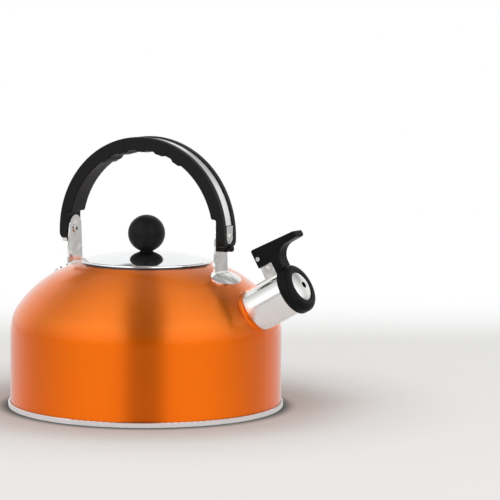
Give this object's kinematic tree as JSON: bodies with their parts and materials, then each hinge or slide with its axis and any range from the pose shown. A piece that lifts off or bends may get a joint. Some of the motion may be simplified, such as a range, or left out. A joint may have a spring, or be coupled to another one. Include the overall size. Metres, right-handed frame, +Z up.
{
  "type": "stovetop whistling kettle",
  "caption": "Round stovetop kettle with a domed shoulder, slanted spout with flip-up whistle cap, lift-off lid with ball knob and a folding arched handle.",
  "frame": {"origin": "middle of the base, on the surface the kettle stands on", "axes": "+Z up along the vessel's axis, +X towards the spout, symmetric about the XZ plane"},
  "size_m": [0.2584, 0.22, 0.2151],
  "materials": {
    "orange_coat": "translucent orange lacquer over bright steel, glossy",
    "base_steel": "satin stainless steel, rolled rim",
    "polished_steel": "polished stainless steel",
    "mirror_steel": "mirror-polished stainless steel",
    "bracket_steel": "pressed stainless sheet, polished",
    "strip_steel": "bright rolled stainless strip",
    "fastener_steel": "bright steel",
    "plug_steel": "unpolished drawn stainless steel, dull",
    "grip_plastic": "matt black phenolic moulding",
    "knob_plastic": "matt black phenolic ball",
    "lever_plastic": "satin black moulding"
  },
  "bodies": {
    "vessel": {"body_shell": "orange_coat", "base_pan": "base_steel", "spout_tube": "polished_steel", "spout_hinge_bracket": "bracket_steel", "lever_hinge_pin": "fastener_steel", "front_handle_bracket": "bracket_steel", "rear_handle_bracket": "bracket_steel"},
    "handle": {"handle_grip": "grip_plastic", "handle_strip": "strip_steel", "front_pivot_plate": "fastener_steel", "rear_pivot_plate": "fastener_steel", "front_pivot_rivet": "fastener_steel", "rear_pivot_rivet": "fastener_steel"},
    "front_lock": {"front_lock_pin": "grip_plastic"},
    "rear_lock": {"rear_lock_pin": "fastener_steel"},
    "lid": {"lid_cover": "mirror_steel", "lid_plug": "plug_steel", "lid_knob": "knob_plastic", "knob_screw": "fastener_steel", "knob_washer": "fastener_steel"},
    "whistle": {"whistle_lever": "lever_plastic", "whistle_outer_plate": "polished_steel", "whistle_inner_plate": "polished_steel"}
  },
  "joints": [
    {"name": "handle_fold", "type": "hinge", "parent": "vessel", "child": "handle", "pos_m": [0, 0, 0.1385], "axis": [1, 0, 0], "range_deg": [-103, 103]},
    {"name": "whistle_flip", "type": "hinge", "parent": "vessel", "child": "whistle", "pos_m": [0.10599, 0, 0.12406], "axis": [0, -1, 0], "range_deg": [0, 80]},
    {"name": "lid_lift", "type": "slide", "parent": "vessel", "child": "lid", "axis": [0, 0, 1], "range_m": [0, 0.04]},
    {"name": "front_lock_pull", "type": "slide", "parent": "handle", "child": "front_lock", "axis": [1, 0, 0], "range_m": [0, 0.002]},
    {"name": "rear_lock_pull", "type": "slide", "parent": "handle", "child": "rear_lock", "axis": [-1, 0, 0], "range_m": [0, 0.002]}
  ]
}
